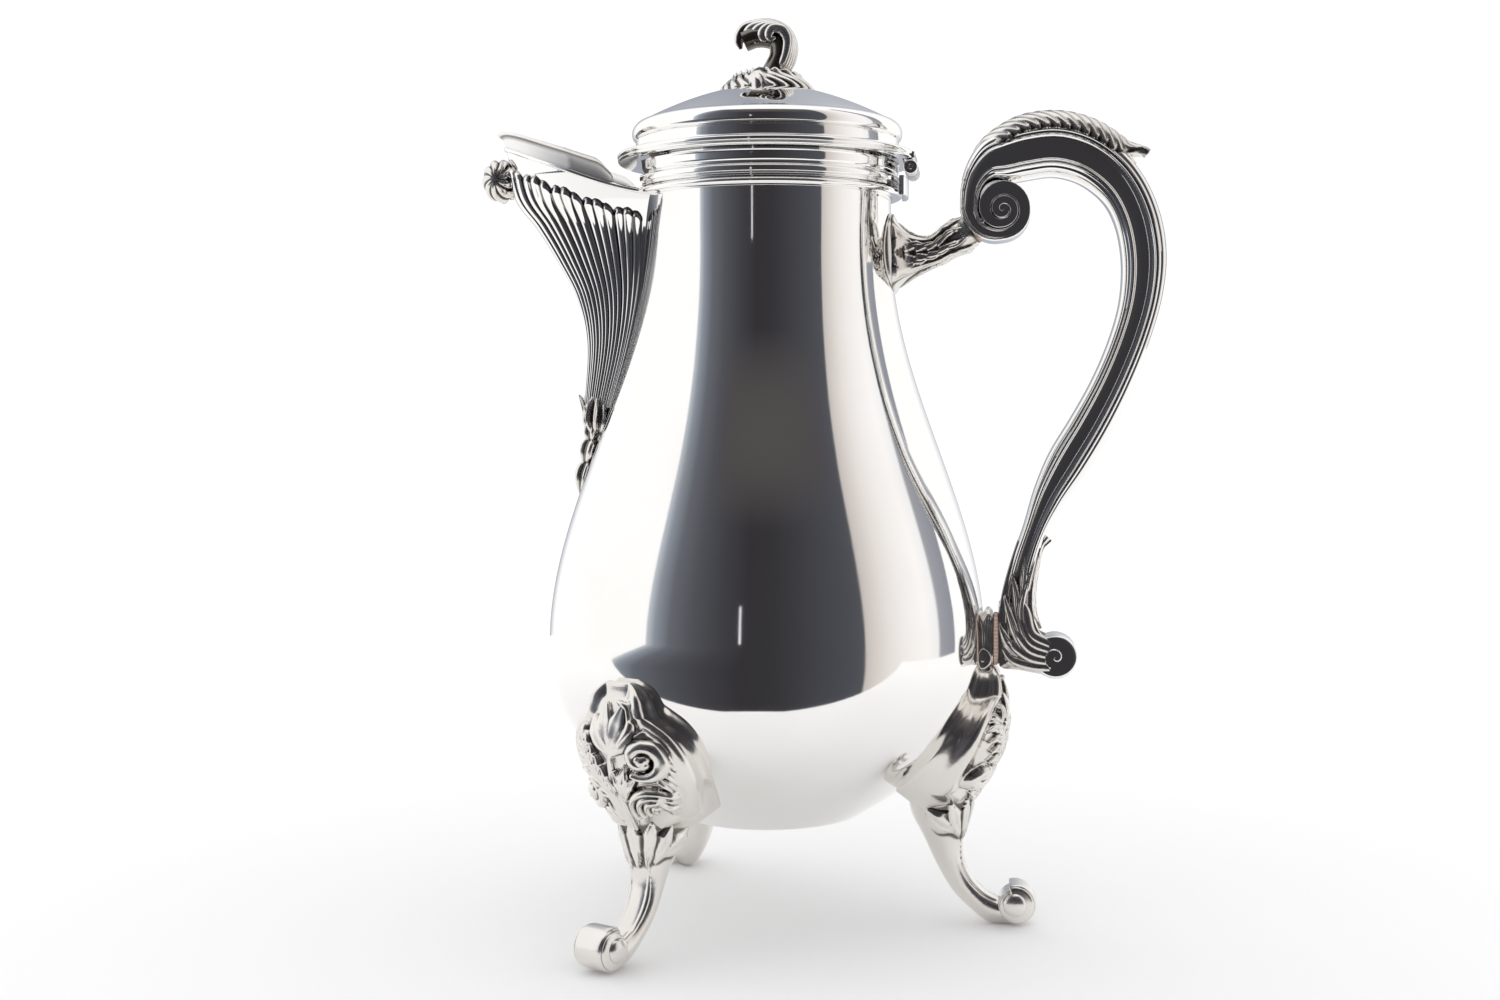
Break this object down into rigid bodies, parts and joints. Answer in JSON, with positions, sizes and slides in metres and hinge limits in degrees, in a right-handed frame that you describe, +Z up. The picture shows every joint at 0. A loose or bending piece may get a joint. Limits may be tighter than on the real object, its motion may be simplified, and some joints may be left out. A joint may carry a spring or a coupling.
{
  "type": "coffee pot",
  "caption": "Pear-shaped silver coffee pot on scroll feet, with a fluted trough spout, a C-scroll handle and a hinged domed lid with a crest finial.",
  "frame": {"origin": "on the table, at the middle of the bounding box; the pot's own axis stands 15 mm towards the spout from it", "axes": "+Z up, +X from the spout towards the handle, +Y to the far side when the spout points left"},
  "size_m": [0.204, 0.144, 0.2689],
  "materials": {
    "polished_silver": "mirror-polished sterling silver with fine wear scratches",
    "cast_silver": "cast and chased silver, bright on the high places and darkened in the recesses",
    "insulator": "aged ivory-coloured heat insulator, satin"
  },
  "bodies": {
    "pot": {"body_lower_shell": "polished_silver", "body_upper_shell": "polished_silver", "neck_collar": "polished_silver", "neck_wire": "polished_silver", "spout_trough": "polished_silver", "spout_lip": "polished_silver", "handle_grip": "polished_silver", "hinge_body_knuckle_1": "polished_silver", "hinge_body_knuckle_3": "polished_silver", "hinge_body_knuckle_5": "polished_silver", "hinge_pin": "polished_silver", "hinge_body_leaf": "polished_silver", "handle_upper_socket_rivet": "polished_silver", "handle_upper_grip_rivet": "polished_silver", "handle_lower_grip_rivet": "polished_silver", "spout_tip_scroll": "cast_silver", "spout_leaf": "cast_silver", "spout_drop": "cast_silver", "foot_shield_handle": "cast_silver", "foot_shield_far": "cast_silver", "foot_shield_near": "cast_silver", "leg_handle": "cast_silver", "leg_far": "cast_silver", "leg_near": "cast_silver", "handle_upper_plate": "cast_silver", "handle_upper_socket": "cast_silver", "handle_lower_socket": "cast_silver", "thumb_leaf": "cast_silver", "handle_tail_leaf": "cast_silver", "handle_upper_insulator": "insulator", "handle_lower_insulator": "insulator"},
    "lid": {"lid_flange": "polished_silver", "lid_dome": "polished_silver", "lid_bezel": "polished_silver", "hinge_lid_leaf": "polished_silver", "hinge_lid_knuckle_2": "polished_silver", "hinge_lid_knuckle_4": "polished_silver", "finial_base": "cast_silver", "finial_crest": "cast_silver", "finial_stud": "polished_silver", "finial_nut": "polished_silver"}
  },
  "joints": [
    {"name": "lid_hinge", "type": "hinge", "parent": "pot", "child": "lid", "pos_m": [0.02775, 0, 0.2232], "axis": [0, 1, 0], "range_deg": [0, 100]}
  ]
}
